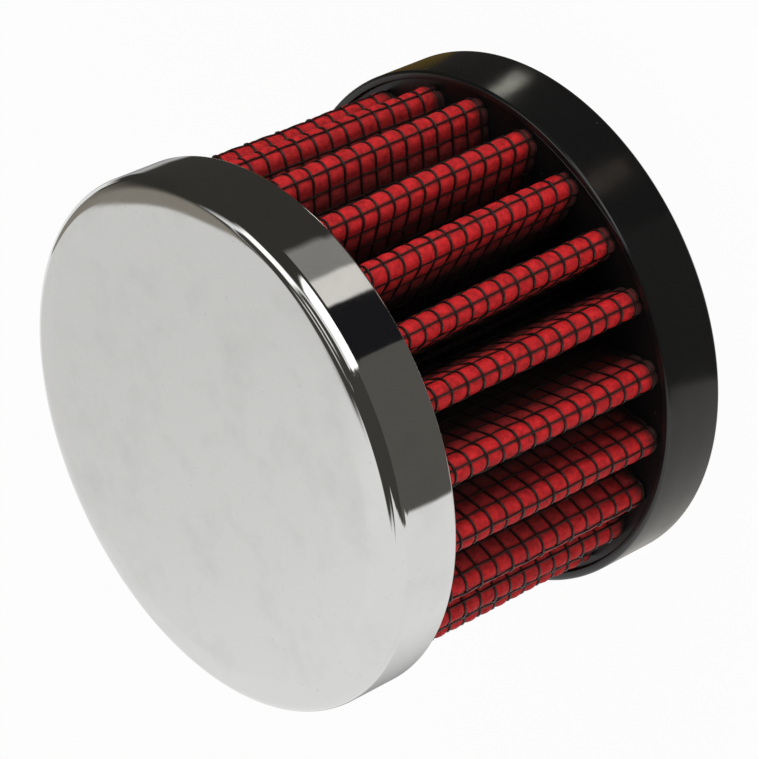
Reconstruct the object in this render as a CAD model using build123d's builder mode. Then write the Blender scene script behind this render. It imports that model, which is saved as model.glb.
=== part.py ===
from build123d import *
import math
import os

# Small pleated fuel vent filter. A stamped chrome cup closes the top, a moulded rubber base
# with a push-on neck closes the bottom, and between them stands a ring of folded, oiled gauze
# held in shape by a black wire screen on each side.
# Frame: +Z runs along the axis from the neck up to the cap. The origin is the centre of the
# neck's mouth. A pleat crest lies on +X.

# Driving sizes in millimetres

# Chrome end cap
OUTER_DIAMETER = 50.8
CAP_DEPTH = 6.9
CAP_SHEET = 0.8
CAP_EDGE_RADIUS = 1.5
CAP_MARGIN = 3.8
CAP_MARGIN_DROP = 0.3

# Rubber base and neck
BASE_THICKNESS = 6.7
RIM_WIDTH = 0.8
RIM_HEIGHT = 0.6
LIP_RADIUS = 0.3
BACK_CHAMFER = 0.8
NECK_BORE = 12.7
NECK_WALL = 3.15
NECK_LENGTH = 12.7
NECK_ROOT_RADIUS = 1.5
MOUTH_CHAMFER = 0.6

# Folded gauze
OPEN_LENGTH = 25.75
SEAL_RECESS = 2.0
PLEATS = 23
PLENUM_DIAMETER = 25.4
GAUZE_THICKNESS = 0.9
FOLD_GAP = 0.5

# Folded by hand, the pleats don't stand quite evenly. Each crest named here, counted
# counter-clockwise from +X, stands off its even place by this share of the pitch.
CREST_SHIFTS = {1: -0.07, 2: -0.1, 3: -0.15, 4: -0.08, 5: -0.09, 20: -0.17, 21: -0.14, 22: -0.09}

# Wire screens
WIRE = 0.25
MESH_PITCH = 1.85
MESHES_PER_HOOP = 2
TIP_CLEARANCE = 0.2
CROSSING_CLEARANCE = 0.02

# Number of straight runs that a rounded stretch is drawn with
EDGE_RUN_COUNT = 4
LIP_RUN_COUNT = 3
FOLD_RUN_COUNT = 8

# Levels along the axis
base_back = NECK_LENGTH
base_top = base_back + BASE_THICKNESS
base_floor = base_top - RIM_HEIGHT
cap_rim = base_top + OPEN_LENGTH
cap_top = cap_rim + CAP_DEPTH
underside = cap_top - CAP_SHEET
seal_bottom = cap_rim + SEAL_RECESS
pleat_length = seal_bottom - base_floor

# Radii of the round bodies
outer_radius = OUTER_DIAMETER / 2
skirt_inner_radius = outer_radius - CAP_SHEET
rim_inner_radius = outer_radius - RIM_WIDTH
bore_radius = NECK_BORE / 2
neck_radius = bore_radius + NECK_WALL

# Folds: the gauze turns about a centre at each crest and at each valley
narrow_fold = FOLD_GAP / 2
wide_fold = narrow_fold + GAUZE_THICKNESS
middle_fold = narrow_fold + GAUZE_THICKNESS / 2

# Hoop wires rest on the lengthwise wires and bow over each crest in three straight runs. The
# corner where two runs meet is the part of the pack that comes nearest to the cap's skirt and
# the base's rim.
hoop_bend = 45.0
hoop_inner = wide_fold + WIRE + CROSSING_CLEARANCE
hoop_outer = hoop_inner + WIRE
hoop_half_run = hoop_outer * math.tan(math.radians(hoop_bend / 2))
pack_radius = min(skirt_inner_radius, rim_inner_radius) - TIP_CLEARANCE
crest_centre_radius = math.sqrt(pack_radius**2 - hoop_half_run**2) - hoop_outer
valley_centre_radius = PLENUM_DIAMETER / 2 + WIRE + wide_fold


def polar(radius, angle):
    """A point at this radius and this angle in degrees."""
    return Vector(radius, 0).rotate(Axis.Z, angle)


def arc_points(centre, radius, start, turn, runs):
    """Points along an arc: its centre, its radius, and its start and turn in degrees."""
    steps = [start + turn * step / runs for step in range(runs + 1)]
    return [Vector(*centre) + polar(radius, angle) for angle in steps]


def facing(crest, valley, side):
    """Direction in degrees that a flank faces. The flank is the straight run that touches both
    its folds; side is 1 if it lies counter-clockwise of its crest, and -1 if clockwise."""
    span = valley - crest
    direction = math.degrees(math.atan2(span.Y, span.X))
    return direction - side * math.degrees(math.acos(2 * middle_fold / span.length))


# Crest 0 stands on +X, and valley 0 is the one that follows it counter-clockwise
pitch_angle = 360 / PLEATS
crest_angles = [pitch_angle * (pleat + CREST_SHIFTS.get(pleat, 0)) for pleat in range(PLEATS)]
next_angles = crest_angles[1:] + [crest_angles[0] + 360]
valley_angles = [(angle + after) / 2 for angle, after in zip(crest_angles, next_angles)]
crests = [polar(crest_centre_radius, angle) for angle in crest_angles]
valleys = [polar(valley_centre_radius, angle) for angle in valley_angles]
left_faces = [facing(crests[pleat], valleys[pleat], 1) for pleat in range(PLEATS)]
right_faces = [facing(crests[pleat], valleys[pleat - 1], -1) for pleat in range(PLEATS)]


def folded_loop(crest_fold, valley_fold):
    """Corners of a closed run round all pleats. The wider of the two folds is round and the
    narrower one is square, because the cloth packs solid inside a fold."""
    crest_runs = FOLD_RUN_COUNT if crest_fold > valley_fold else 1
    valley_runs = FOLD_RUN_COUNT if valley_fold > crest_fold else 1
    corners = []
    for pleat in range(PLEATS):
        left, right = left_faces[pleat], right_faces[pleat]
        next_right = right_faces[(pleat + 1) % PLEATS]
        crest_turn = (left - right) % 360
        valley_turn = (next_right - left) % 360 - 360
        corners += arc_points(crests[pleat], crest_fold, right, crest_turn, crest_runs)
        corners += arc_points(valleys[pleat], valley_fold, left + 180, valley_turn, valley_runs)
    return corners


def cup_hollow(bottom):
    """Half section of the space under the cap's sheet, down to a level."""
    corner = CAP_EDGE_RADIUS - CAP_SHEET + CAP_MARGIN_DROP
    with BuildSketch(Plane.XZ) as hollow:
        Polygon(
            (0, bottom),
            (skirt_inner_radius, bottom),
            (skirt_inner_radius, underside - corner),
            (skirt_inner_radius - corner, underside),
            (0, underside),
            align=None,
        )
    return hollow.sketch


# End cap: a shallow stamped cup with a flat face, a gently falling margin and a tight edge

with BuildSketch(Plane.XZ) as cup_outside:
    edge_centre = (outer_radius - CAP_EDGE_RADIUS, cap_top - CAP_MARGIN_DROP - CAP_EDGE_RADIUS)
    Polygon(
        (0, cap_rim),
        (outer_radius, cap_rim),
        *arc_points(edge_centre, CAP_EDGE_RADIUS, 0, 90, EDGE_RUN_COUNT),
        (outer_radius - CAP_MARGIN, cap_top),
        (0, cap_top),
        align=None,
    )

with BuildPart() as end_cap:
    revolve(cup_outside.sketch, axis=Axis.Z)
    revolve(cup_hollow(cap_rim), axis=Axis.Z, mode=Mode.SUBTRACT)

# Cap seal: the urethane poured into the cup, in which the upper pleat ends are set

with BuildPart() as cap_seal:
    revolve(cup_hollow(seal_bottom), axis=Axis.Z)

# Base: a moulded disc that seals the lower pleat ends inside a low rim, in one piece with its
# hose neck

with BuildPart() as base:
    with BuildSketch(Plane.XZ):
        root_centre = (neck_radius + NECK_ROOT_RADIUS, base_back - NECK_ROOT_RADIUS)
        lip_centre = (outer_radius - LIP_RADIUS, base_top - LIP_RADIUS)
        Polygon(
            (bore_radius, MOUTH_CHAMFER),
            (bore_radius + MOUTH_CHAMFER, 0),
            (neck_radius - MOUTH_CHAMFER, 0),
            (neck_radius, MOUTH_CHAMFER),
            *arc_points(root_centre, NECK_ROOT_RADIUS, 180, -90, LIP_RUN_COUNT),
            (outer_radius - BACK_CHAMFER, base_back),
            (outer_radius, base_back + BACK_CHAMFER),
            *arc_points(lip_centre, LIP_RADIUS, 0, 90, LIP_RUN_COUNT),
            (rim_inner_radius, base_top),
            (rim_inner_radius, base_floor),
            (bore_radius, base_floor),
            align=None,
        )
    revolve(axis=Axis.Z)

# Filter media: one length of oiled cotton gauze, folded into a closed ring of pleats

with BuildPart() as filter_media:
    with BuildSketch(Plane.XY.offset(base_floor)):
        Polygon(*folded_loop(wide_fold, narrow_fold), align=None)
        Polygon(*folded_loop(narrow_fold, wide_fold), align=None, mode=Mode.SUBTRACT)
    extrude(amount=pleat_length)

# Outer screen: a lengthwise wire on each crest, one where the crest turns into each flank, and
# hoop wires that bow from one flank over the crest to the other

wire_height = wide_fold + WIRE / 2
outer_wires = []
crest_places = []
for centre, left, right in zip(crests, left_faces, right_faces):
    upright = right + (left - right) % 360 / 2
    crest_places.append(Location(centre, (0, 0, upright)))
    outer_wires.append(Location(centre + polar(wire_height, upright), (0, 0, upright)))
    for face, side in ((left, 1), (right, -1)):
        place = centre + polar(wire_height, face) + polar(WIRE / 2, face + 90 * side)
        outer_wires.append(Location(place, (0, 0, face)))

with BuildSketch() as hoop_course:
    hoop_turn = 3 * hoop_bend
    outer_corner = hoop_outer / math.cos(math.radians(hoop_bend / 2))
    inner_corner = hoop_inner / math.cos(math.radians(hoop_bend / 2))
    with Locations(*crest_places):
        Polygon(
            *arc_points((0, 0), outer_corner, -hoop_turn / 2, hoop_turn, 3),
            *arc_points((0, 0), inner_corner, hoop_turn / 2, -hoop_turn, 3),
            align=None,
        )

hoop_pitch = MESH_PITCH * MESHES_PER_HOOP
open_run = cap_rim - base_floor
hoop_gaps = int((open_run - hoop_pitch) // hoop_pitch)
first_hoop = base_floor + (open_run - WIRE - hoop_gaps * hoop_pitch) / 2

with BuildPart() as outer_screen:
    with BuildSketch(Plane.XY.offset(base_floor)):
        with Locations(*outer_wires):
            Rectangle(WIRE, WIRE)
    extrude(amount=pleat_length)
    for gap in range(hoop_gaps + 1):
        with BuildSketch(Plane.XY.offset(first_hoop + gap * hoop_pitch)):
            add(hoop_course.sketch)
        extrude(amount=WIRE)

# Inner screen: a lengthwise wire on each valley fold, on the clean side of the gauze

inner_wires = []
for centre, angle in zip(valleys, valley_angles):
    inner_wires.append(Location(centre - polar(wire_height, angle), (0, 0, angle)))

with BuildPart() as inner_screen:
    with BuildSketch(Plane.XY.offset(base_floor)):
        with Locations(*inner_wires):
            Rectangle(WIRE, WIRE)
    extrude(amount=pleat_length)

pieces = {
    "end_cap": end_cap,
    "cap_seal": cap_seal,
    "base": base,
    "filter_media": filter_media,
    "outer_screen": outer_screen,
    "inner_screen": inner_screen,
}
os.makedirs("parts", exist_ok=True)
for name, piece in pieces.items():
    piece.part.label = name
    export_step(piece.part, f"parts/{name}.step")
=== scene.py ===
import logging
import math
from collections.abc import Iterator, Sequence
from dataclasses import dataclass, field
from enum import Enum

import bmesh
import bpy
from mathutils import Matrix, Vector, noise
from mathutils.kdtree import KDTree


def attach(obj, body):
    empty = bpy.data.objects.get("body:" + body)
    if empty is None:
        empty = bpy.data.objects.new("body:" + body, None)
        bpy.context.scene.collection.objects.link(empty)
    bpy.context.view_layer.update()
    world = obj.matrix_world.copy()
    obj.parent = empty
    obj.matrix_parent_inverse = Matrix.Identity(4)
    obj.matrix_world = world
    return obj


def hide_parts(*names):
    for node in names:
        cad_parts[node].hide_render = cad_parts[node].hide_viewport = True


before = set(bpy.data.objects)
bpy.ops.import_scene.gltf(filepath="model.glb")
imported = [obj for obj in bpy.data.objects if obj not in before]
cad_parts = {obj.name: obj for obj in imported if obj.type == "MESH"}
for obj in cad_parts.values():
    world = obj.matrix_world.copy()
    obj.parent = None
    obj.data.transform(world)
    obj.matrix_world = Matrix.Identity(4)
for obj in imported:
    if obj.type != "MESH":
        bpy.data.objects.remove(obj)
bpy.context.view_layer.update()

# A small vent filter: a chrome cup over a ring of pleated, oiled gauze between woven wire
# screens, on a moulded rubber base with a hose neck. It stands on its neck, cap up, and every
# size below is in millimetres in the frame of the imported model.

LOG = logging.getLogger("vent_filter")
MM = 0.001
FULL_TURN = 2 * math.pi

Corners = Sequence[tuple[float, float]]
Socket = bpy.types.NodeSocket


# ---------------------------------------------------------------- sizes

@dataclass(frozen=True)
class FilterSizes:
    """The sizes that several pieces share, in millimetres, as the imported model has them.

    The crest tables go by the crest's number, counted counter-clockwise from +X: its shift from
    its even place in shares of the pitch, its lean in degrees at the base end, and how many mesh
    cells the screen's wires stand off its middle.
    """

    outer_radius: float = 25.4
    base_back: float = 12.7
    base_floor: float = 18.8
    base_top: float = 19.4
    rim_inner: float = 24.6
    cap_rim: float = 45.15
    seal_bottom: float = 47.15
    cap_top: float = 52.05
    cap_sheet: float = 0.8
    neck_bore_radius: float = 6.35
    neck_radius: float = 9.5
    pleats: int = 23
    crest_radius: float = 22.7202
    valley_radius: float = 14.1
    cloth: float = 0.9
    fold_gap: float = 0.5
    mesh_pitch: float = 1.85
    wire: float = 0.2
    thin_wire: float = 0.155
    first_hoop: float = 20.5
    crest_shifts: Corners = (
        (1, -0.07), (2, -0.1), (3, -0.15), (4, -0.08), (5, -0.09),
        (20, -0.17), (21, -0.14), (22, -0.09),
    )
    crest_leans: Corners = (
        (0, 0.25), (1, 0.75), (2, 0.75), (3, 0.9), (4, 0.5), (5, -0.5), (6, 0.0),
        (20, 0.0), (21, 0.0), (22, 0.0),
    )
    wire_shifts: Corners = (
        (0, 0.0), (1, -0.05), (2, 0.08), (3, -0.4), (4, -0.58), (5, -0.4), (6, -0.2),
        (20, 0.0), (21, 0.15), (22, 0.27),
    )

    @property
    def middle_fold(self) -> float:
        """Radius that the middle of the cloth turns about a fold."""
        return (self.fold_gap + self.cloth) / 2

    def lean(self, crest: int) -> float:
        """Lean of a crest in degrees; the hidden side leans about as much as the seen one."""
        return dict(self.crest_leans).get(crest % self.pleats, 0.6 * math.sin(2.1 * crest))

    def wire_shift(self, crest: int) -> float:
        """Cells that the wires stand off a crest's middle."""
        return dict(self.wire_shifts).get(crest % self.pleats, 0.4 * math.sin(1.3 * crest))

    def ends(self, sink: float) -> tuple[float, float]:
        """Heights of the two ends of what is sunk this deep into the base and the seal."""
        return self.base_floor - sink, self.seal_bottom + sink

    def courses(self, low: float, high: float, step: float) -> list[float]:
        """Heights between two levels that lie whole steps from the first hoop wire."""
        first = self.first_hoop - math.floor((self.first_hoop - low) / step) * step
        return [first + step * number for number in range(math.floor((high - first) / step) + 1)]


# ---------------------------------------------------------------- bench: modelling by operators

class Bench:
    """Modelling steps that work as by hand, in edit mode, with lengths in millimetres."""

    merge_distance = 0.002
    sharp_angle = 28.0

    @staticmethod
    def clear() -> None:
        """Leaves edit mode and deselects everything."""
        if bpy.context.object is not None and bpy.context.object.mode != "OBJECT":
            bpy.ops.object.mode_set(mode="OBJECT")
        bpy.ops.object.select_all(action="DESELECT")

    @staticmethod
    def pick(*pieces: bpy.types.Object) -> None:
        """Selects these pieces and makes the last one active."""
        Bench.clear()
        for piece in pieces:
            piece.select_set(True)
        bpy.context.view_layer.objects.active = pieces[-1]

    @staticmethod
    def name(name: str) -> bpy.types.Object:
        """Names the active object and its mesh, and returns it."""
        piece = bpy.context.object
        piece.name = name
        piece.data.name = name
        return piece

    @staticmethod
    def settle_origin() -> None:
        """Puts the origins of the selected pieces in the part's own, unturned and unscaled."""
        bpy.ops.object.transform_apply(location=True, rotation=True, scale=True)

    @staticmethod
    def chain(name: str, points: Sequence[Vector], closed: bool) -> bpy.types.Object:
        """Draws a line of edges by extruding one vertex from point to point.

        Args:
            name: The new object's name.
            points: The points in millimetres.
            closed: True if the last point joins the first.

        Returns:
            The object, in edit mode, with everything in it selected.
        """
        Bench.clear()
        bpy.ops.mesh.primitive_plane_add(size=0.1 * MM, location=points[0] * MM)
        piece = Bench.name(name)
        Bench.settle_origin()
        bpy.ops.object.mode_set(mode="EDIT")
        bpy.ops.mesh.select_all(action="SELECT")
        bpy.ops.mesh.merge(type="CENTER")
        for before, after in zip(points, points[1:]):
            bpy.ops.mesh.extrude_vertices_move(
                TRANSFORM_OT_translate={"value": (after - before) * MM}
            )
        bpy.ops.mesh.select_all(action="SELECT")
        if closed:
            drawn = bmesh.from_edit_mesh(piece.data)
            drawn.verts.ensure_lookup_table()
            drawn.edges.new((drawn.verts[-1], drawn.verts[0])).select = True
            bmesh.update_edit_mesh(piece.data)
        return piece

    @staticmethod
    def turned(name: str, section: Corners, steps: int, closed: bool = True,
               start: float = 0.0, turn: float = 360.0) -> bpy.types.Object:
        """Turns a half section about the part's axis, as on a lathe.

        Args:
            name: The new object's name.
            section: Radius and height of each corner, in millimetres.
            steps: Number of steps in the turn.
            closed: True if the section is a closed outline.
            start: Direction of the section in degrees from +X.
            turn: Turn in degrees.

        Returns:
            The object, smooth shaded, with its normals outward.
        """
        towards = flat(math.radians(start))
        points = [towards * radius + Vector((0, 0, height)) for radius, height in section]
        piece = Bench.chain(name, points, closed)
        bpy.ops.mesh.spin(
            steps=steps, angle=-math.radians(turn), center=(0, 0, 0), axis=(0, 0, 1)
        )
        bpy.ops.mesh.select_all(action="SELECT")
        bpy.ops.mesh.remove_doubles(threshold=Bench.merge_distance * MM)
        bpy.ops.mesh.normals_make_consistent(inside=False)
        bpy.ops.object.mode_set(mode="OBJECT")
        bpy.ops.object.shade_smooth_by_angle(angle=math.radians(Bench.sharp_angle))
        return piece

    @staticmethod
    def wired(piece: bpy.types.Object, diameter: float, sides: int = 6) -> bpy.types.Object:
        """Turns lines of edges into round wire.

        Args:
            piece: The object that holds the lines.
            diameter: Wire diameter in millimetres.
            sides: Sides of the wire, an even number from 4.

        Returns:
            The same object, as a mesh of closed wires.
        """
        Bench.pick(piece)
        bpy.ops.object.convert(target="CURVE")
        curve = bpy.context.object.data
        curve.bevel_depth = diameter / 2 * MM
        curve.bevel_resolution = (sides - 4) // 2
        curve.use_fill_caps = True
        bpy.ops.object.convert(target="MESH")
        bpy.ops.object.shade_smooth()
        return bpy.context.object

    @staticmethod
    def modify(piece: bpy.types.Object, kind: str, **settings: float | str) -> None:
        """Gives the active piece a modifier with these settings and applies it."""
        modifier = piece.modifiers.new(kind.lower(), kind)
        for name, value in settings.items():
            setattr(modifier, name, value)
        bpy.ops.object.modifier_apply(modifier=modifier.name)

    @staticmethod
    def copied(master: bpy.types.Object, place: Vector, turn: float = 0.0) -> bpy.types.Object:
        """Copies a piece, with its own mesh, to a place in millimetres and a turn in radians."""
        copy = master.copy()
        copy.data = copy.data.copy()
        bpy.context.collection.objects.link(copy)
        copy.location = place * MM
        copy.rotation_euler.z = turn
        return copy

    @staticmethod
    def joined(name: str, pieces: Sequence[bpy.types.Object],
               masters: Sequence[bpy.types.Object] = ()) -> bpy.types.Object:
        """Joins pieces into one object of this name.

        Args:
            name: The new object's name.
            pieces: The pieces, wherever they stand.
            masters: The pieces that these were copied from, which aren't needed any more.

        Returns:
            The object, with its origin in the part's own.
        """
        Bench.pick(*pieces)
        Bench.settle_origin()
        bpy.ops.object.join()
        for master in masters:
            bpy.data.objects.remove(master)
        return Bench.name(name)


def arc(centre: tuple[float, float], radius: float, start: float, end: float, runs: int
        ) -> list[tuple[float, float]]:
    """Corners along an arc of a section.

    Args:
        centre: Radius and height of its centre, in millimetres.
        radius: Radius of the arc, in millimetres.
        start: Angle of its first corner in degrees, from outward towards up.
        end: Angle of its last corner in degrees.
        runs: Number of straight runs.

    Returns:
        Radius and height of each corner.
    """
    angles = [math.radians(start + (end - start) * step / runs) for step in range(runs + 1)]
    return [(centre[0] + radius * math.cos(angle), centre[1] + radius * math.sin(angle))
            for angle in angles]


def flat(angle: float) -> Vector:
    """Level unit vector in this direction, in radians from +X."""
    return Vector((math.cos(angle), math.sin(angle), 0.0))


def clamp(share: float) -> float:
    """A share, kept from 0 to 1."""
    return max(0.0, min(1.0, share))


# ---------------------------------------------------------------- the folded path

@dataclass(frozen=True)
class Station:
    """One place on the middle of the folded cloth, with the direction that faces outside."""

    point: Vector
    outward: Vector

    def off(self, distance: float, height: float) -> Vector:
        """The point at this distance outside the cloth's middle and at this height."""
        return self.point + self.outward * distance + Vector((0, 0, height))


@dataclass
class FoldedPath:
    """The run of the cloth round all pleats.

    A column is a count of mesh cells from a crest: 0 on the crest, 1 where the left flank
    starts, then one for each mesh pitch down the flank, 6 in the valley, and 12 on the next
    crest.
    """

    sizes: FilterSizes
    crests: list[Vector] = field(default_factory=list)
    valleys: list[Vector] = field(default_factory=list)
    left: list[float] = field(default_factory=list)
    right: list[float] = field(default_factory=list)

    columns = 12
    valley_column = 6
    last_flank_column = 5
    fold_share = 0.75
    shift_fade = 3.0

    def __post_init__(self) -> None:
        """Works out the folds' centres and the directions that the flanks face."""
        sizes = self.sizes
        shifts = dict(sizes.crest_shifts)
        pitch = FULL_TURN / sizes.pleats
        angles = [pitch * (pleat + shifts.get(pleat, 0.0)) for pleat in range(sizes.pleats)]
        after = angles[1:] + [angles[0] + FULL_TURN]
        self.crests = [flat(angle) * sizes.crest_radius for angle in angles]
        self.valleys = [flat((a + b) / 2) * sizes.valley_radius for a, b in zip(angles, after)]
        for pleat, crest in enumerate(self.crests):
            self.left.append(self.facing(crest, self.valleys[pleat], 1))
            self.right.append(self.facing(crest, self.valleys[pleat - 1], -1))

    def facing(self, crest: Vector, valley: Vector, side: int) -> float:
        """Direction in radians that a flank faces.

        Args:
            crest: Centre of its crest fold.
            valley: Centre of its valley fold.
            side: 1 if the flank lies counter-clockwise of its crest, else -1.

        Returns:
            The direction of its outward normal.
        """
        span = valley - crest
        tilt = math.acos(2 * self.sizes.middle_fold / span.length)
        return math.atan2(span.y, span.x) - side * tilt

    def down_side(self, pleat: int, side: int, column: float) -> Station:
        """Station on one side of a crest.

        Args:
            pleat: Number of the crest.
            side: 1 for the counter-clockwise side, -1 for the other.
            column: Distance from the crest, from 0 to 6 cells.

        Returns:
            The station there.
        """
        fold = self.sizes.middle_fold
        crest = self.crests[pleat]
        valley = self.valleys[pleat if side > 0 else pleat - 1]
        if column <= 1:
            half_turn = (self.left[pleat] - self.right[pleat]) % FULL_TURN / 2
            normal = flat(self.right[pleat] + half_turn * (1 + side * column))
            return Station(crest + normal * fold, normal)
        normal = flat(self.left[pleat] if side > 0 else self.right[pleat])
        top = crest + normal * fold
        down = valley - normal * fold - top
        covered = (self.last_flank_column - 1) * self.sizes.mesh_pitch
        share = column - self.last_flank_column
        if share <= 0:
            travel = (column - 1) * self.sizes.mesh_pitch
        elif share <= self.fold_share:
            travel = covered + (down.length - covered) * share / self.fold_share
        else:
            return self.in_valley(pleat, side, (share - self.fold_share) / (1 - self.fold_share))
        return Station(top + down.normalized() * travel, normal)

    def in_valley(self, pleat: int, side: int, share: float) -> Station:
        """Station on the half of a valley fold that follows one side of a crest."""
        number = pleat if side > 0 else pleat - 1
        one = self.left[number]
        other = self.right[(number + 1) % self.sizes.pleats]
        turn = (other - one) % FULL_TURN - FULL_TURN
        angle = one + math.pi + turn * (share / 2 if side > 0 else 1 - share / 2)
        return Station(self.valleys[number] + flat(angle) * self.sizes.middle_fold, -flat(angle))

    def station(self, pleat: int, column: float) -> Station:
        """Station at a column, counted counter-clockwise from a crest and on past the next."""
        pleat = (pleat + math.floor(column / self.columns)) % self.sizes.pleats
        column %= self.columns
        if column <= self.valley_column:
            return self.down_side(pleat, 1, column)
        return self.down_side((pleat + 1) % self.sizes.pleats, -1, self.columns - column)

    def screen_station(self, pleat: int, column: float) -> Station:
        """Station under a column of the screen, which stands a little off its crest's middle."""
        far_column = self.columns - self.last_flank_column
        near = clamp((self.last_flank_column - column) / self.shift_fade)
        far = clamp((column - far_column) / self.shift_fade)
        shift = near * self.sizes.wire_shift(pleat) + far * self.sizes.wire_shift(pleat + 1)
        return self.station(pleat, column + shift)

    def whole_pleat(self, half: Sequence[float]) -> list[float]:
        """Columns from one crest to the next, from those on the way down to the valley."""
        up = [self.columns - column for column in reversed(half[1:])]
        return [*half, self.valley_column, *up]

    def screen_round(self, half: Sequence[float]) -> Iterator[tuple[int, float, Station]]:
        """Pleat, column and screen station of every column round the filter."""
        for pleat in range(self.sizes.pleats):
            for column in self.whole_pleat(half):
                yield pleat, column, self.screen_station(pleat, column)

    def depth(self, column: float) -> float:
        """Cells from the nearest crest."""
        column = column % self.columns
        return min(column, self.columns - column)


@dataclass
class HandFolding:
    """What folding by hand does to an even pack, done alike to the cloth and both screens."""

    sizes: FilterSizes
    tilt: float = 1.05
    tilt_towards: float = 25.0
    wander: float = 0.1
    wander_length: float = 8.0
    pinch: float = 0.25
    pinch_height: float = 1.1
    pinch_from: float = 20.0
    pinch_ramp: float = 3.5
    seed: int = 7

    def __post_init__(self) -> None:
        """Seeds the noise, so that the folds wander alike in each run."""
        noise.seed_set(self.seed)

    def lean(self, point: Vector) -> float:
        """Lean in radians, blended between the crests on both sides of a point."""
        place = math.atan2(point.y, point.x) / FULL_TURN * self.sizes.pleats
        crest = math.floor(place)
        share = place - crest
        degrees = (1 - share) * self.sizes.lean(crest) + share * self.sizes.lean(crest + 1)
        return math.radians(degrees)

    def settled(self, point: Vector) -> Vector:
        """Where a point of the even pack ends up.

        Args:
            point: The point in millimetres.

        Returns:
            Its place once the crests lean, the weave runs a little out of square, the folds
            wander, and the crests pinch in where the rubber grips them.
        """
        sizes = self.sizes
        half = (sizes.cap_rim - sizes.base_floor) / 2
        reach = (sizes.base_floor + half - point.z) / half
        turned = Matrix.Rotation(self.lean(point) * reach, 3, "Z") @ point
        around = math.atan2(turned.y, turned.x) - math.radians(self.tilt_towards)
        turned.z += self.tilt * math.cos(around)
        turned += noise.noise_vector(turned / self.wander_length) * self.wander
        grip = clamp(1 - (turned.z - sizes.base_floor) / self.pinch_height) ** 2
        radius = math.hypot(turned.x, turned.y)
        crest = clamp((radius - self.pinch_from) / self.pinch_ramp)
        keep = 1 - self.pinch * grip * crest / radius
        return Vector((turned.x * keep, turned.y * keep, turned.z))

    def settle(self, piece: bpy.types.Object) -> None:
        """Settles a finished piece of the pack."""
        for vertex in piece.data.vertices:
            vertex.co = self.settled(vertex.co / MM) * MM


# ---------------------------------------------------------------- finishes

def linear(colour: str) -> tuple[float, float, float, float]:
    """Linear RGBA of an sRGB hex colour."""
    channels = []
    for place in (0, 2, 4):
        value = int(colour[place:place + 2], 16) / 255
        channels.append(value / 12.92 if value <= 0.04045 else ((value + 0.055) / 1.055) ** 2.4)
    return (*channels, 1.0)


def add_node(tree: bpy.types.NodeTree, kind: str, settings: dict | None = None,
             out: int | str = 0) -> Socket | None:
    """Adds one node to a tree.

    Args:
        tree: The material's or world's node tree.
        kind: The node's type name, without the word ShaderNode.
        settings: What each property or input gets, by its name or number: a value, or the
            output of another node, which is linked to it.
        out: The output that is wanted.

    Returns:
        That output of the new node, or None if it has no outputs.
    """
    node = tree.nodes.new("ShaderNode" + kind)
    for name, value in (settings or {}).items():
        if isinstance(value, Socket):
            tree.links.new(value, node.inputs[name])
        elif isinstance(name, str) and hasattr(node, name):
            setattr(node, name, value)
        else:
            node.inputs[name].default_value = value
    return node.outputs[out] if len(node.outputs) else None


def blank_material(name: str) -> tuple[bpy.types.Material, bpy.types.NodeTree]:
    """A new node material without nodes, and its tree."""
    material = bpy.data.materials.new(name)
    material.use_nodes = True
    material.node_tree.nodes.clear()
    return material, material.node_tree


def from_axis(tree: bpy.types.NodeTree, place: Socket) -> Socket:
    """Distance of a place from the part's axis, in metres."""
    across = add_node(tree, "VectorMath",
                      {"operation": "MULTIPLY", 0: place, 1: (1.0, 1.0, 0.0)})
    return add_node(tree, "VectorMath", {"operation": "LENGTH", 0: across}, "Value")


def lay_surface(tree: bpy.types.NodeTree, settings: dict, relief: dict | None = None) -> None:
    """Ends a finish with its surface.

    Args:
        tree: The material's tree.
        settings: What each input of the surface gets.
        relief: What each input of its fine relief gets, or None for an even surface.
    """
    if relief is not None:
        settings = {**settings, "Normal": add_node(tree, "Bump", relief)}
    add_node(tree, "OutputMaterial", {"Surface": add_node(tree, "BsdfPrincipled", settings)})


@dataclass(frozen=True)
class ChromePlate:
    """Bright chrome over nickel on pressed steel, buffed: a clear mirror that lies a little
    uneven where the sheet was drawn, with the faint smears and dust of handling."""

    name: str = "chrome_plate_polished"
    colour: str = "d3d3d1"
    smeared: str = "cacac8"
    roughness: float = 0.04
    haze: float = 0.05
    smear_size: float = 5.0
    wave_size: float = 9.0
    wave_depth: float = 0.03
    dust_size: float = 0.5

    def make(self) -> bpy.types.Material:
        """The finished material."""
        material, tree = blank_material(self.name)
        place = add_node(tree, "TexCoord", out="Object")
        smear = add_node(tree, "TexNoise", {
            "Vector": place, "Scale": 1 / (self.smear_size * MM), "Detail": 5.0,
            "Roughness": 0.62})
        dust = add_node(tree, "TexNoise", {
            "Vector": place, "Scale": 1 / (self.dust_size * MM), "Detail": 1.0})
        share = add_node(tree, "MapRange", {"Value": smear, "From Min": 0.48, "From Max": 0.78})
        speck = add_node(tree, "MapRange", {"Value": dust, "From Min": 0.68, "From Max": 0.8})
        film = add_node(tree, "Math", {"operation": "MAXIMUM", 0: share, 1: speck})
        colour = add_node(tree, "Mix", {
            "data_type": "RGBA", 0: film, 6: linear(self.colour), 7: linear(self.smeared)}, 2)
        rough = add_node(tree, "MapRange", {
            "Value": film, "To Min": self.roughness, "To Max": self.roughness + self.haze})
        wave = add_node(tree, "TexNoise", {
            "Vector": place, "Scale": 1 / (self.wave_size * MM), "Detail": 2.0})
        lay_surface(tree, {"Metallic": 1.0, "Base Color": colour, "Roughness": rough},
                    {"Height": wave, "Strength": 0.25, "Distance": self.wave_depth * MM})
        return material


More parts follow.
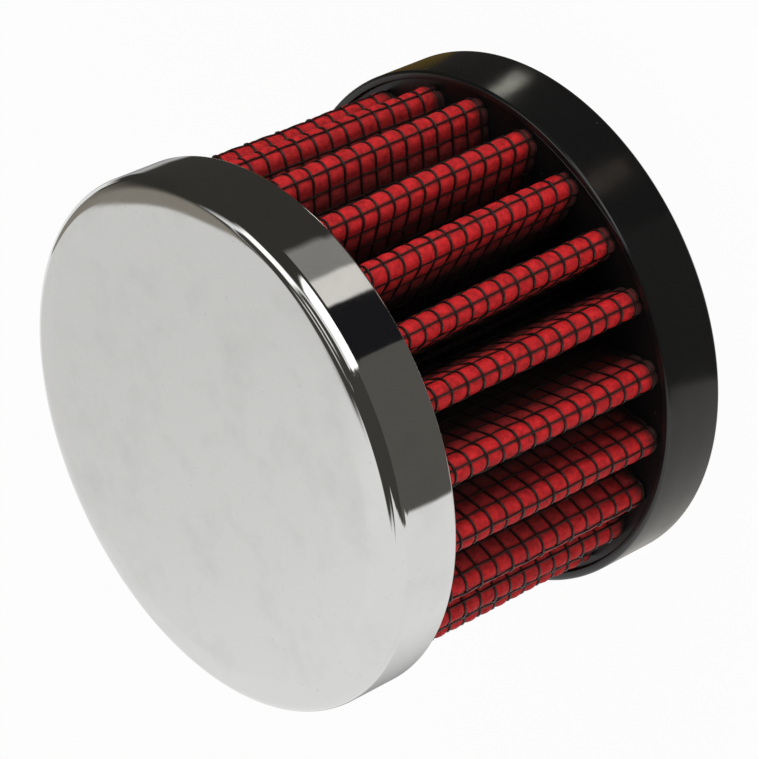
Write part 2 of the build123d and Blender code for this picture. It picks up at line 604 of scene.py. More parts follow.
@dataclass(frozen=True)
class MouldedRubber:
    """Black rubber moulded against a smooth steel tool: dark, with an even soft gloss outside,
    dull where the pleats stand in it, and a few specks of dust."""

    sizes: FilterSizes
    name: str = "black_rubber_moulded"
    colour: str = "101010"
    dust: str = "55524d"
    gloss_roughness: tuple[float, float] = (0.13, 0.25)
    dull_roughness: float = 0.42
    dull_from: tuple[float, float] = (0.15, 0.5)
    cloud_size: float = 4.0
    grain_size: float = 0.7
    grain_depth: float = 0.05
    dust_spacing: float = 2.0

    def make(self) -> bpy.types.Material:
        """The finished material."""
        material, tree = blank_material(self.name)
        outer, floor = self.sizes.outer_radius, self.sizes.base_floor
        place = add_node(tree, "TexCoord", out="Object")
        inside = add_node(tree, "MapRange", {
            "Value": from_axis(tree, place), "From Min": (outer - self.dull_from[0]) * MM,
            "From Max": (outer - self.dull_from[1]) * MM})
        above = add_node(tree, "MapRange", {
            "Value": add_node(tree, "SeparateXYZ", {"Vector": place}, "Z"),
            "From Min": (floor - 0.3) * MM, "From Max": (floor - 0.1) * MM})
        top = add_node(tree, "Math", {"operation": "MULTIPLY", 0: inside, 1: above})
        cloud = add_node(tree, "TexNoise", {
            "Vector": place, "Scale": 1 / (self.cloud_size * MM), "Detail": 4.0})
        gloss = add_node(tree, "MapRange", {
            "Value": cloud, "From Min": 0.3, "From Max": 0.7,
            "To Min": self.gloss_roughness[0], "To Max": self.gloss_roughness[1]})
        rough = add_node(tree, "MapRange", {
            "Value": top, "To Min": gloss, "To Max": self.dull_roughness})
        specks = add_node(tree, "TexVoronoi", {
            "Vector": place, "Scale": 1 / (self.dust_spacing * MM)}, "Distance")
        dusty = add_node(tree, "MapRange", {"Value": specks, "From Min": 0.05, "From Max": 0.03})
        colour = add_node(tree, "Mix", {
            "data_type": "RGBA", 0: dusty, 6: linear(self.colour), 7: linear(self.dust)}, 2)
        grain = add_node(tree, "TexNoise", {
            "Vector": place, "Scale": 1 / (self.grain_size * MM), "Detail": 2.0})
        lay_surface(tree, {"IOR": 1.5, "Base Color": colour, "Roughness": rough},
                    {"Height": grain, "Strength": 0.06, "Distance": self.grain_depth * MM})
        return material


@dataclass(frozen=True)
class PouredUrethane:
    """Black urethane poured into the cup, which sets with a satin skin."""

    name: str = "black_urethane_poured"
    colour: str = "1c1c1c"
    roughness: float = 0.38
    swirl_size: float = 2.5
    swirl_depth: float = 0.1

    def make(self) -> bpy.types.Material:
        """The finished material."""
        material, tree = blank_material(self.name)
        swirl = add_node(tree, "TexNoise", {
            "Vector": add_node(tree, "TexCoord", out="Object"),
            "Scale": 1 / (self.swirl_size * MM), "Detail": 3.0})
        lay_surface(tree, {"Base Color": linear(self.colour), "IOR": 1.5,
                           "Roughness": self.roughness},
                    {"Height": swirl, "Strength": 0.2, "Distance": self.swirl_depth * MM})
        return material


@dataclass(frozen=True)
class OiledGauze:
    """Layers of cotton gauze soaked in red filter oil: a deep wet red that mottles with its
    threads. Painted shade darkens it down in the folds and beside the wires. At the foot it
    turns black, where the rubber has soaked in and painted shadow lies over it."""

    sizes: FilterSizes
    name: str = "cotton_gauze_oiled"
    thread_spacing: float = 0.32
    thread_share: float = 0.05
    blotch_size: float = 0.6
    relief_depth: float = 0.11
    bright: str = "bd2023"
    soaked: str = "8e1518"
    # painted shade: the near black that the folds, the wires' sides and the foot fade to; at the
    # foot it is also the black of rubber soaked into the cloth
    shade_and_wick_black: str = "2b2927"
    # the foot's band, in millimetres above the base's floor: rubber soaked into the cloth, with
    # painted shadow over it
    wick_and_shadow_band: tuple[float, float] = (0.5, 2.7)
    wick_and_shadow_fringe: float = 1.0
    wicked_shade: float = 0.05
    # painted shade: the cloth darkens down the folds by its distance from the axis
    fold_reach: tuple[float, float] = (2.9, 0.8)
    fold_power: float = 1.9
    fold_shade: float = 0.03
    # painted shadow beside the hoop wires and the lengthwise wires
    hoop_shade: float = 0.28
    thin_wire_shade: float = 0.5

    def make(self) -> bpy.types.Material:
        """The finished material."""
        material, tree = blank_material(self.name)
        place = add_node(tree, "TexCoord", out="Object")
        blotch = add_node(tree, "TexNoise", {
            "Vector": place, "Scale": 1 / (self.blotch_size * MM), "Detail": 7.0,
            "Roughness": 0.62})
        threads = self.waves(tree, "cloth_run", FULL_TURN / self.thread_spacing)
        weave = add_node(tree, "Math", {"operation": "MULTIPLY", 0: threads[0], 1: threads[1]})
        fibre = add_node(tree, "Math", {
            "operation": "MULTIPLY_ADD", 0: weave, 1: self.thread_share, 2: blotch})
        tone = add_node(tree, "MapRange", {"Value": fibre, "From Min": 0.34, "From Max": 0.62})
        colour = add_node(tree, "Mix", {
            "data_type": "RGBA", 0: tone, 6: linear(self.soaked), 7: linear(self.bright)}, 2)
        # painted shade: mixes the cloth towards near black down the folds, beside the wires and at
        # the foot
        shaded = add_node(tree, "Mix", {
            "data_type": "RGBA", 0: self.shade(tree, place, blotch), 6: linear(self.shade_and_wick_black),
            7: colour}, 2)
        lay_surface(
            tree,
            {"Roughness": 0.55, "IOR": 1.47, "Specular IOR Level": 0.16, "Base Color": shaded},
            {"Height": fibre, "Strength": 0.6, "Distance": self.relief_depth * MM},
        )
        return material

    def waves(self, tree: bpy.types.NodeTree, uv_map: str, rate: float) -> list[Socket]:
        """Sine waves across and along a UV map, at this rate."""
        run = add_node(tree, "UVMap", {"uv_map": uv_map})
        waves = []
        for axis in ("X", "Y"):
            along = add_node(tree, "SeparateXYZ", {"Vector": run}, axis)
            turn = add_node(tree, "Math", {"operation": "MULTIPLY", 0: along, 1: rate})
            waves.append(add_node(tree, "Math", {"operation": "SINE", 0: turn}))
        return waves

    def shade(self, tree: bpy.types.NodeTree, place: Socket, blotch: Socket) -> Socket:
        """Painted shade of the cloth: 1 on the crests, less in the folds, at the foot and by the
        wires.
        """
        sizes = self.sizes
        # painted shade down the folds, by distance from the axis
        climb = add_node(tree, "MapRange", {
            "Value": from_axis(tree, place),
            "From Min": (sizes.valley_radius + self.fold_reach[0]) * MM,
            "From Max": (sizes.crest_radius + self.fold_reach[1]) * MM})
        steep = add_node(tree, "Math", {"operation": "POWER", 0: climb, 1: self.fold_power})
        shade = add_node(tree, "Math", {"operation": "MAXIMUM", 0: steep, 1: self.fold_shade})
        height = add_node(tree, "SeparateXYZ", {"Vector": place}, "Z")
        # the foot: soaked-in rubber and painted shadow, with a wavering edge
        wick_and_shadow_line = add_node(tree, "Math", {
            "operation": "MULTIPLY_ADD", 0: blotch, 1: self.wick_and_shadow_fringe * MM, 2: height})
        shares = [{"Value": wick_and_shadow_line, "From Min": (sizes.base_floor + self.wick_and_shadow_band[0]) * MM,
                   "From Max": (sizes.base_floor + self.wick_and_shadow_band[1]) * MM,
                   "To Min": self.wicked_shade}]
        # painted shadow beside the wires, placed by the screen's cells
        wires = self.waves(tree, "screen_cells", math.pi)
        for wave, wire_shade in zip(wires, (self.thin_wire_shade, self.hoop_shade)):
            beside = add_node(tree, "Math", {"operation": "ABSOLUTE", 0: wave})
            shares.append({"Value": beside, "From Min": 0.08, "From Max": 0.52,
                           "To Min": wire_shade})
        for share in shares:
            part = add_node(tree, "MapRange", {"interpolation_type": "SMOOTHSTEP", **share})
            shade = add_node(tree, "Math", {"operation": "MULTIPLY", 0: shade, 1: part})
        return shade


@dataclass(frozen=True)
class CoatedWire:
    """Woven steel wire with a black epoxy coat: near black, with a soft glint along each wire."""

    name: str = "steel_wire_black_epoxy"
    colour: str = "1e1411"
    roughness: tuple[float, float] = (0.28, 0.5)
    drop_size: float = 5 / 9

    def make(self) -> bpy.types.Material:
        """The finished material."""
        material, tree = blank_material(self.name)
        drops = add_node(tree, "TexNoise", {
            "Vector": add_node(tree, "TexCoord", out="Object"),
            "Scale": 1 / (self.drop_size * MM), "Detail": 2.0})
        rough = add_node(tree, "MapRange", {
            "Value": drops, "To Min": self.roughness[0], "To Max": self.roughness[1]})
        lay_surface(tree, {"Base Color": linear(self.colour), "IOR": 1.5, "Roughness": rough})
        return material


class Slot(Enum):
    """The record's material slots."""

    CAP = "chrome_cap"
    SEAL = "black_urethane"
    BASE = "black_rubber"
    GAUZE = "oiled_gauze"
    WIRE = "coated_wire"


def dress(piece: bpy.types.Object, material: bpy.types.Material, slot: Slot, node: str) -> None:
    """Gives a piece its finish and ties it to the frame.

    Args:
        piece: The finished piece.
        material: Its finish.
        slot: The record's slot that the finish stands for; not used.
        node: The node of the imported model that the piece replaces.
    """
    piece.data.materials.clear()
    piece.data.materials.append(material)
    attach(piece, "root")
    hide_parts(node)
    LOG.info("%s: %d faces", piece.name, len(piece.data.polygons))


# ---------------------------------------------------------------- the pieces

@dataclass
class EndCap:
    """The pressed cup: a flat face, a margin that falls a little, a tight edge and a skirt."""

    sizes: FilterSizes
    edge_radius: float = 1.5
    edge_runs: int = 18
    margin: float = 3.8
    margin_drop: float = 0.3
    margin_fall: float = 1.3
    margin_runs: int = 12
    arc_start: float = 81.0
    rim_round: float = 0.25
    rim_burr: tuple[float, float] = (0.2, 0.15)
    inner_corner: tuple[float, float] = (1.0, 2.2)
    steps: int = 240

    def section(self) -> Corners:
        """Closed half section of the pressed sheet."""
        outer, top, rim = self.sizes.outer_radius, self.sizes.cap_top, self.sizes.cap_rim
        inner = outer - self.sizes.cap_sheet
        underside = top - self.margin_drop - self.sizes.cap_sheet
        shoulder = top - self.margin_drop - self.edge_radius
        edge = arc((outer - self.edge_radius, shoulder), self.edge_radius, self.arc_start, 0,
                   self.edge_runs)
        start, (end, low) = outer - self.margin, edge[0]
        shares = [step / self.margin_runs for step in range(self.margin_runs)]
        return [
            (0.0, top), (6.0, top), (12.0, top),
            *((start + (end - start) * share, top - (top - low) * share ** self.margin_fall)
              for share in shares),
            *edge, (outer, shoulder - 1.5), (outer, shoulder - 3.0),
            *arc((outer - self.rim_round, rim + self.rim_round), self.rim_round, 0, -90, 4),
            (inner + self.rim_burr[0], rim), (inner, rim + self.rim_burr[1]),
            (inner, self.sizes.seal_bottom), (inner, top - self.inner_corner[1]),
            (inner - self.inner_corner[0], underside), (0.0, underside),
        ]

    def build(self) -> None:
        """Turns the cup and plates it."""
        cup = Bench.turned("chrome_cap", self.section(), self.steps)
        dress(cup, ChromePlate().make(), Slot.CAP, "end_cap")


@dataclass
class CapSeal:
    """The urethane that holds the upper ends of the pleats, with the meniscus that it leaves on
    the skirt."""

    sizes: FilterSizes
    play: float = 0.02
    meniscus: Corners = ((23.6, 0.0), (24.1, -0.12), (24.4, -0.4))
    wetted: float = 0.8
    corner: tuple[float, float] = (1.0, 1.2)
    steps: int = 160

    def build(self) -> None:
        """Turns the disc of urethane."""
        inner = self.sizes.outer_radius - self.sizes.cap_sheet - self.play
        level, top = self.sizes.seal_bottom - self.play, self.sizes.cap_top - self.corner[1]
        section = [
            (0.0, level), (12.6, level), (13.0, level),
            *((radius, level + rise) for radius, rise in self.meniscus),
            (inner, level - self.wetted), (inner, top - self.corner[1]),
            (inner - self.corner[0], top), (0.0, top),
        ]
        seal = Bench.turned("cap_seal_urethane", section, self.steps)
        dress(seal, PouredUrethane().make(), Slot.SEAL, "cap_seal")


@dataclass
class Base:
    """The moulded base: a thick disc with a low rim, and the hose neck under it."""

    sizes: FilterSizes
    lip: float = 0.3
    inner_lip: float = 0.12
    floor_round: float = 0.1
    back_round: float = 0.4
    root_round: float = 1.5
    mouth_round: float = 0.6
    flash: float = 0.13
    flash_step: float = 1.5
    flash_waver: float = 0.05
    flash_places: Corners = (
        (4.0, 25.3), (14.0, 25.25), (20.0, 24.98), (25.0, 24.8), (32.0, 24.68), (44.0, 24.62),
    )
    flash_sunk: Corners = ((0, 0.12), (1, 0.04), (-2, 0.04), (-1, 0.12))
    steps: int = 240

    def section(self) -> Corners:
        """Closed half section of the moulding."""
        outer, rim = self.sizes.outer_radius, self.sizes.rim_inner
        bore, neck = self.sizes.neck_bore_radius, self.sizes.neck_radius
        top, back, floor = self.sizes.base_top, self.sizes.base_back, self.sizes.base_floor
        mouth, root, heel = self.mouth_round, self.root_round, self.back_round
        lip, inner_lip, corner = self.lip, self.inner_lip, self.floor_round
        return [
            *arc((bore + mouth, mouth), mouth, 180, 270, 5),
            *arc((neck - mouth, mouth), mouth, 270, 360, 5), (neck, 4.0), (neck, 8.0),
            *arc((neck + root, back - root), root, 180, 90, 8), (14.0, back), (19.0, back),
            *arc((outer - heel, back + heel), heel, -90, 0, 8),
            (outer, back + 2.4), (outer, back + 4.2),
            *arc((outer - lip, top - lip), lip, 0, 90, 6),
            *arc((rim + inner_lip, top - inner_lip), inner_lip, 90, 180, 3),
            (rim, floor + corner), (rim - corner, floor),
            (23.0, floor), (18.0, floor), (12.8, floor), (9.0, floor),
            *arc((bore + mouth, floor - mouth), mouth, 90, 180, 5), (bore, 14.0), (bore, 8.0),
        ]

    def flash_line(self) -> bpy.types.Object:
        """The thin uneven ridge that the mould's parting line leaves on part of the rim."""
        points = []
        last = len(self.flash_places) - 2
        for number, (start, end) in enumerate(zip(self.flash_places, self.flash_places[1:])):
            steps = round((end[0] - start[0]) / self.flash_step)
            for step in range(steps + (number == last)):
                share = step / steps
                angle = math.radians(start[0] + (end[0] - start[0]) * share)
                waver = self.flash_waver * noise.noise(flat(angle) * 30)
                radius = start[1] + (end[1] - start[1]) * share + waver
                over = max(0.0, radius - (self.sizes.outer_radius - self.lip))
                drop = self.lip - math.sqrt(max(0.0, self.lip**2 - over**2))
                points.append(flat(angle) * radius + Vector((0, 0, self.sizes.base_top - drop)))
        for number, sunk in self.flash_sunk:
            points[number].z -= sunk
        return Bench.wired(Bench.chain("rim_flash", points, False), self.flash)

    def build(self) -> None:
        """Turns the moulding and lays the flash on its rim."""
        body = Bench.turned("rubber_body", self.section(), self.steps)
        base = Bench.joined("rubber_base", [self.flash_line(), body])
        dress(base, MouldedRubber(self.sizes).make(), Slot.BASE, "base")


@dataclass
class PleatedGauze:
    """The folded cloth, which bulges a little through each cell of the outer screen."""

    sizes: FilterSizes
    path: FoldedPath
    folding: HandFolding
    bulge: float = 0.24
    bulge_fade: tuple[float, float] = (4.0, 2.0)
    bulge_power: float = 0.6
    levels_per_cell: int = 4
    least_level: float = 0.1
    sink: float = 1.5
    soft_angle: float = 60.0
    half: tuple[float, ...] = (0.0, 0.25, 0.5, 0.75, 1.0, 1.25, 1.5, 1.75, 2.0, 2.5, 3.0, 4.0,
                               5.0, 5.75, 5.9)

    def pushed_out(self, column: float, height: float) -> float:
        """Share of the full bulge at a place on the cloth."""
        start, length = self.bulge_fade
        fade = clamp((start - self.path.depth(column)) / length)
        course = (height - self.sizes.first_hoop) / self.sizes.mesh_pitch
        across, along = abs(math.sin(math.pi * column)), abs(math.sin(math.pi * course))
        return fade * (across * along) ** self.bulge_power

    def build(self) -> None:
        """Folds the cloth, gives it its thickness and presses the screen into it."""
        sizes = self.sizes
        low, high = sizes.ends(self.sink)
        inside = sizes.courses(low + self.least_level, high - self.least_level,
                               sizes.mesh_pitch / self.levels_per_cell)
        heights = [low, *inside, high]
        names, points = [], []
        for pleat, column, station in self.path.screen_round(self.half):
            names.append((pleat, column))
            points.append(station.off(sizes.cloth / 2, low))
        cloth = Bench.chain("pleated_gauze", points, True)
        for before, after in zip(heights, heights[1:]):
            bpy.ops.mesh.extrude_region_move(
                TRANSFORM_OT_translate={"value": (0, 0, (after - before) * MM)}
            )
        bpy.ops.mesh.select_all(action="SELECT")
        bpy.ops.mesh.normals_make_consistent(inside=False)
        bpy.ops.object.mode_set(mode="OBJECT")
        self.lay_run(cloth, names, points)
        Bench.pick(cloth)
        Bench.modify(cloth, "DISPLACE", vertex_group="bulge", strength=self.bulge * MM,
                     mid_level=0.0)
        Bench.modify(cloth, "SOLIDIFY", thickness=sizes.cloth * MM, offset=-1.0)
        self.folding.settle(cloth)
        bpy.ops.object.shade_smooth_by_angle(angle=math.radians(self.soft_angle))
        dress(cloth, OiledGauze(sizes).make(), Slot.GAUZE, "filter_media")

    def lay_run(self, cloth: bpy.types.Object, names: list[tuple[int, float]],
                points: list[Vector]) -> None:
        """Writes the bulge and two UV maps on the cloth.

        The first map holds the cloth's own run and height in millimetres. The second holds the
        same places counted in the screen's cells, whole on the wires.

        Args:
            cloth: The cloth, before it has its thickness.
            names: Pleat and column of each corner of its plan.
            points: Place of each corner of its plan, in millimetres.
        """
        runs = [0.0]
        for before, after in zip(points, [*points[1:], points[0]]):
            runs.append(runs[-1] + (after - before).length)
        count = self.path.columns
        cells = [pleat * count + column for pleat, column in names]
        cells.append(self.sizes.pleats * count)
        plan = KDTree(len(points))
        for number, point in enumerate(points):
            plan.insert((point.x, point.y, 0.0), number)
        plan.balance()
        group = cloth.vertex_groups.new(name="bulge")
        found = []
        for vertex in cloth.data.vertices:
            number = plan.find((vertex.co.x / MM, vertex.co.y / MM, 0.0))[1]
            height = vertex.co.z / MM
            found.append((number, height))
            weight = self.pushed_out(names[number][1], height)
            if weight > 0:
                group.add([vertex.index], weight, "REPLACE")
        run_layer = cloth.data.uv_layers.new(name="cloth_run")
        cell_layer = cloth.data.uv_layers.new(name="screen_cells")
        for face in cloth.data.polygons:
            numbers = [found[cloth.data.loops[i].vertex_index][0] for i in face.loop_indices]
            closes = max(numbers) - min(numbers) > len(points) // 2
            for i, number in zip(face.loop_indices, numbers):
                number = len(points) if closes and number == 0 else number
                height = found[cloth.data.loops[i].vertex_index][1]
                course = (height - self.sizes.first_hoop) / self.sizes.mesh_pitch
                run_layer.data[i].uv = (runs[number], height)
                cell_layer.data[i].uv = (cells[number], course)


@dataclass
class OuterScreen:
    """The woven screen over the outside of the pleats."""

    sizes: FilterSizes
    path: FoldedPath
    folding: HandFolding
    stand_off: float = 0.13
    valley_stand_off: float = -0.05
    crimp: float = 0.055
    sink: float = 1.4
    least_run: float = 0.05
    half: tuple[float, ...] = (0.0, 0.25, 0.5, 0.75, 1.0, 1.25, 1.5, 1.75, 2.0, 2.25, 2.5, 2.75,
                               3.0, 3.5, 4.0, 4.5, 5.0, 5.4, 5.75, 5.9)
    fine_depth: int = 2
    fine_runs: int = 4
    plain_runs: int = 2

    def stands(self, column: float) -> float:
        """Distance of the screen's middle from the cloth's: it sinks in towards the valleys."""
        share = clamp(self.path.depth(column) / self.path.last_flank_column)
        return self.sizes.cloth / 2 + self.stand_off * (1 - share) + self.valley_stand_off * share

    def hoop(self, phase: int) -> bpy.types.Object:
        """Models one hoop wire, which passes over and under the lengthwise wires.

        Args:
            phase: 0 if it passes over the crest wires, 1 if under.

        Returns:
            The wire, at the height of the origin.
        """
        points = []
        for _, column, station in self.path.screen_round(self.half):
            weave = math.cos(math.pi * (column + phase)) * self.crimp
            points.append(station.off(self.stands(column) + weave, 0.0))
        return Bench.wired(Bench.chain(f"hoop_{phase}", points, True), self.sizes.wire)

    def build_hoops(self, material: bpy.types.Material) -> None:
        """Models the two kinds of hoop wire and copies them up the screen."""
        masters = [self.hoop(phase) for phase in (0, 1)]
        copies = []
        for height in self.sizes.courses(*self.sizes.ends(self.sink), self.sizes.mesh_pitch):
            course = round((height - self.sizes.first_hoop) / self.sizes.mesh_pitch)
            copies.append(Bench.copied(masters[course % 2], Vector((0, 0, height))))
        hoops = Bench.joined("screen_hoop_wires", copies, masters)
        self.folding.settle(hoops)
        dress(hoops, material, Slot.WIRE, "outer_screen")

    def lengthwise(self, phase: int, runs_per_cell: int) -> bpy.types.Object:
        """Models one lengthwise wire.

        Args:
            phase: 0 if it passes under the first hoop wire, 1 if over.
            runs_per_cell: Straight runs from one hoop wire to the next.

        Returns:
            The wire, at the axis, with outward along +X.
        """
        sizes = self.sizes
        low, high = sizes.ends(self.sink)
        step = sizes.mesh_pitch / runs_per_cell
        points = []
        for height in [low, *sizes.courses(low + self.least_run, high, step)]:
            weave = math.cos(math.pi * ((height - sizes.first_hoop) / sizes.mesh_pitch + phase))
            points.append(Vector((-weave * self.crimp, 0, height)))
        line = Bench.chain(f"wire_{runs_per_cell}_{phase}", points, False)
        return Bench.wired(line, sizes.thin_wire)

    def build_lengthwise(self, material: bpy.types.Material) -> None:
        """Models each kind of lengthwise wire and copies it to its columns."""
        fine = [self.lengthwise(phase, self.fine_runs) for phase in (0, 1)]
        plain = [self.lengthwise(phase, self.plain_runs) for phase in (0, 1)]
        copies = []
        for pleat in range(self.sizes.pleats):
            for column in range(self.path.columns):
                kind = fine if self.path.depth(column) <= self.fine_depth else plain
                station = self.path.screen_station(pleat, column)
                turn = math.atan2(station.outward.y, station.outward.x)
                place = station.off(self.stands(column), 0.0)
                copies.append(Bench.copied(kind[column % 2], place, turn))
        wires = Bench.joined("screen_lengthwise_wires", copies, fine + plain)
        self.folding.settle(wires)
        dress(wires, material, Slot.WIRE, "outer_screen")

    def build(self, material: bpy.types.Material) -> None:
        """Weaves the screen."""
        self.build_hoops(material)
        self.build_lengthwise(material)


@dataclass
class InnerScreen:
    """The woven screen on the inside of the pleats, which keeps the folds open."""

    sizes: FilterSizes
    path: FoldedPath
    folding: HandFolding
    half: tuple[float, ...] = (0.0, 1.0, 3.0, 5.0, 5.5, 5.85)
    wire_columns: tuple[float, ...] = (4.0, 5.0, 6.0, 7.0, 8.0)
    wire_runs: int = 6
    wire_gap: float = 0.1
    sink: float = 1.4
    first_course: float = 1.0
    cells_per_course: int = 2

    def build(self, material: bpy.types.Material) -> None:
        """Draws its lengthwise wires in the folds and plain hoops that follow the cloth."""
        sizes, pleats = self.sizes, range(self.sizes.pleats)
        inward = -(sizes.cloth + sizes.wire) / 2
        low, high = sizes.ends(self.sink)
        course = self.cells_per_course * sizes.mesh_pitch
        lines = []
        for number in range(int((high - low) / course)):
            height = sizes.base_floor + self.first_course + course * number
            points = [self.path.station(pleat, column).off(inward, height)
                      for pleat in pleats for column in self.path.whole_pleat(self.half)]
            lines.append(Bench.chain(f"inner_hoop_{number}", points, True))
        heights = [low + (high - low) * step / self.wire_runs
                   for step in range(self.wire_runs + 1)]
        for pleat in pleats:
            for column in self.wire_columns:
                station = self.path.station(pleat, column)
                points = [station.off(inward - self.wire_gap, height) for height in heights]
                lines.append(Bench.chain(f"inner_wire_{pleat}", points, False))
        screen = Bench.wired(Bench.joined("inner_screen_wires", lines), sizes.wire)
        self.folding.settle(screen)
        dress(screen, material, Slot.WIRE, "inner_screen")


# ---------------------------------------------------------------- the studio

class StudioLight:
    """What the cards and panels share: light with wavering soft edges, in reflections only."""

    @staticmethod
    def edge(tree: bpy.types.NodeTree, place: Socket, ripple: Socket, wobble: float, at: float,
             soft: float) -> Socket:
        """Share of the light at one edge.

        Args:
            tree: The light's node tree.
            place: The place across the edge.
            ripple: What makes the edge waver, from 0 to 1.
            wobble: How far the edge wavers.
            at: Place of the edge's middle.
            soft: Width of the edge, less than 0 if the light ends there.

        Returns:
            0 outside the light and 1 inside.
        """
        moved = add_node(tree, "Math", {
            "operation": "MULTIPLY_ADD", 0: ripple, 1: wobble, 2: place})
        middle = at + wobble / 2
        return add_node(tree, "MapRange", {
            "interpolation_type": "SMOOTHSTEP", "Value": moved, "From Min": middle - soft / 2,
            "From Max": middle + soft / 2})

    @staticmethod
    def hang(piece: bpy.types.Object, material: bpy.types.Material, shares: Sequence[Socket],
             colour: tuple[float, float, float], strength: float = 1.0) -> None:
        """Lights a piece between its edges and hides it from everything but reflections.

        Args:
            piece: The card or panel.
            material: Its material, with the edges' nodes in it.
            shares: The share of the light at each edge.
            colour: The light's colour.
            strength: The light's level.
        """
        tree, total = material.node_tree, shares[0]
        for share in shares[1:]:
            total = add_node(tree, "Math", {"operation": "MULTIPLY", 0: total, 1: share})
        clear = add_node(tree, "BsdfTransparent")
        glow = add_node(tree, "Emission", {"Color": (*colour, 1.0), "Strength": strength})
        mix = add_node(tree, "MixShader", {0: total, 1: clear, 2: glow})
        add_node(tree, "OutputMaterial", {"Surface": mix})
        piece.data.materials.append(material)
        for ray in ("camera", "diffuse", "shadow", "transmission", "volume_scatter"):
            setattr(piece, "visible_" + ray, False)


@dataclass
class Card(StudioLight):
    """A studio card that curves round the part like a piece of a dome, or lies flat over the
    floor like a piece of a ring."""

    name: str
    start: float
    end: float
    low: float
    high: float
    level: tuple[float, float, float]
    soft: tuple[float, float, float, float] = (3.0, 3.0, 3.0, 3.0)
    wobble: float = 2.0
    distance: float = 600.0
    lying: bool = False
    eye_height: float = 45.0
    clearance: float = 27.0
    zenith: float = 89.5
    ripples: float = 7.0
    steps: tuple[int, int] = (24, 12)

    def section(self) -> Corners:
        """Its half section, wide enough for the soft edges."""
        low, high = self.low - self.soft[2] / 2, self.high + self.soft[3] / 2
        if self.lying:
            return [(max(low, self.clearance), self.distance), (high, self.distance)]
        return arc((0.0, self.eye_height), self.distance, low, min(high, self.zenith),
                   self.steps[1])

    def build(self) -> None:
        """Makes the card and its light, which fades to nothing over the soft edges."""
        start, end = self.start - self.soft[0] / 2, self.end + self.soft[1] / 2
        card = Bench.turned(self.name, self.section(), self.steps[0], False, start, end - start)
        material, tree = blank_material(self.name)
        place = add_node(tree, "TexCoord", out="Object")
        size = self.high if self.lying else self.distance
        ripple = add_node(tree, "TexNoise", {
            "Vector": place, "Scale": self.ripples / (size * MM), "Detail": 2.0})
        middle, half = (self.start + self.end) / 2, (self.end - self.start) / 2
        facing = add_node(tree, "Mapping", {
            "Vector": place, "Rotation": (0.0, 0.0, -math.radians(middle))})
        x, y, z = (add_node(tree, "SeparateXYZ", {"Vector": facing}, axis) for axis in "XYZ")
        turn = add_node(tree, "Math", {"operation": "ARCTAN2", 0: y, 1: x})
        rise, scale = from_axis(tree, place), 1 / MM
        if not self.lying:
            height = add_node(tree, "Math", {
                "operation": "SUBTRACT", 0: z, 1: self.eye_height * MM})
            rise = add_node(tree, "Math", {"operation": "ARCTAN2", 0: height, 1: rise})
            scale = math.degrees(1)
        shares = []
        for value, factor, at, soft in (
            (turn, math.degrees(1), -half, self.soft[0]),
            (turn, math.degrees(1), half, -self.soft[1]),
            (rise, scale, self.low, self.soft[2]),
            (rise, scale, self.high, -self.soft[3]),
        ):
            across = add_node(tree, "Math", {"operation": "MULTIPLY", 0: value, 1: factor})
            shares.append(self.edge(tree, across, ripple, self.wobble, at, soft))
        self.hang(card, material, shares, self.level)


@dataclass
class Panel(StudioLight):
    """A flat lamp panel with its corners in four directions, in degrees round the part and up."""

    name: str
    corners: Corners
    level: float
    soft: float = 0.3
    colour: tuple[float, float, float] = (1.0, 1.0, 0.98)
    bend: float = 0.12
    ripples: float = 4.0
    distance: float = 560.0
    eye_height: float = 45.0

    def build(self) -> None:
        """Makes the panel and its light."""
        Bench.clear()
        bpy.ops.mesh.primitive_plane_add(size=1.0)
        panel = Bench.name(self.name)
        for vertex, (azimuth, rise) in zip(panel.data.vertices, self.corners):
            level, up = math.cos(math.radians(rise)), math.sin(math.radians(rise))
            towards = flat(math.radians(azimuth)) * level + Vector((0, 0, up))
            vertex.co = (towards * self.distance + Vector((0, 0, self.eye_height))) * MM
        material, tree = blank_material(self.name)
        run = add_node(tree, "UVMap", {"uv_map": "UVMap"})
        ripple = add_node(tree, "TexNoise", {
            "Vector": run, "Scale": self.ripples, "Detail": 2.0})
        shares = []
        for axis in ("X", "Y"):
            along = add_node(tree, "SeparateXYZ", {"Vector": run}, axis)
            for at, soft in ((self.soft / 2, self.soft), (1 - self.soft / 2, -self.soft)):
                shares.append(self.edge(tree, along, ripple, self.bend, at, soft))
        self.hang(panel, material, shares, self.colour, self.level)


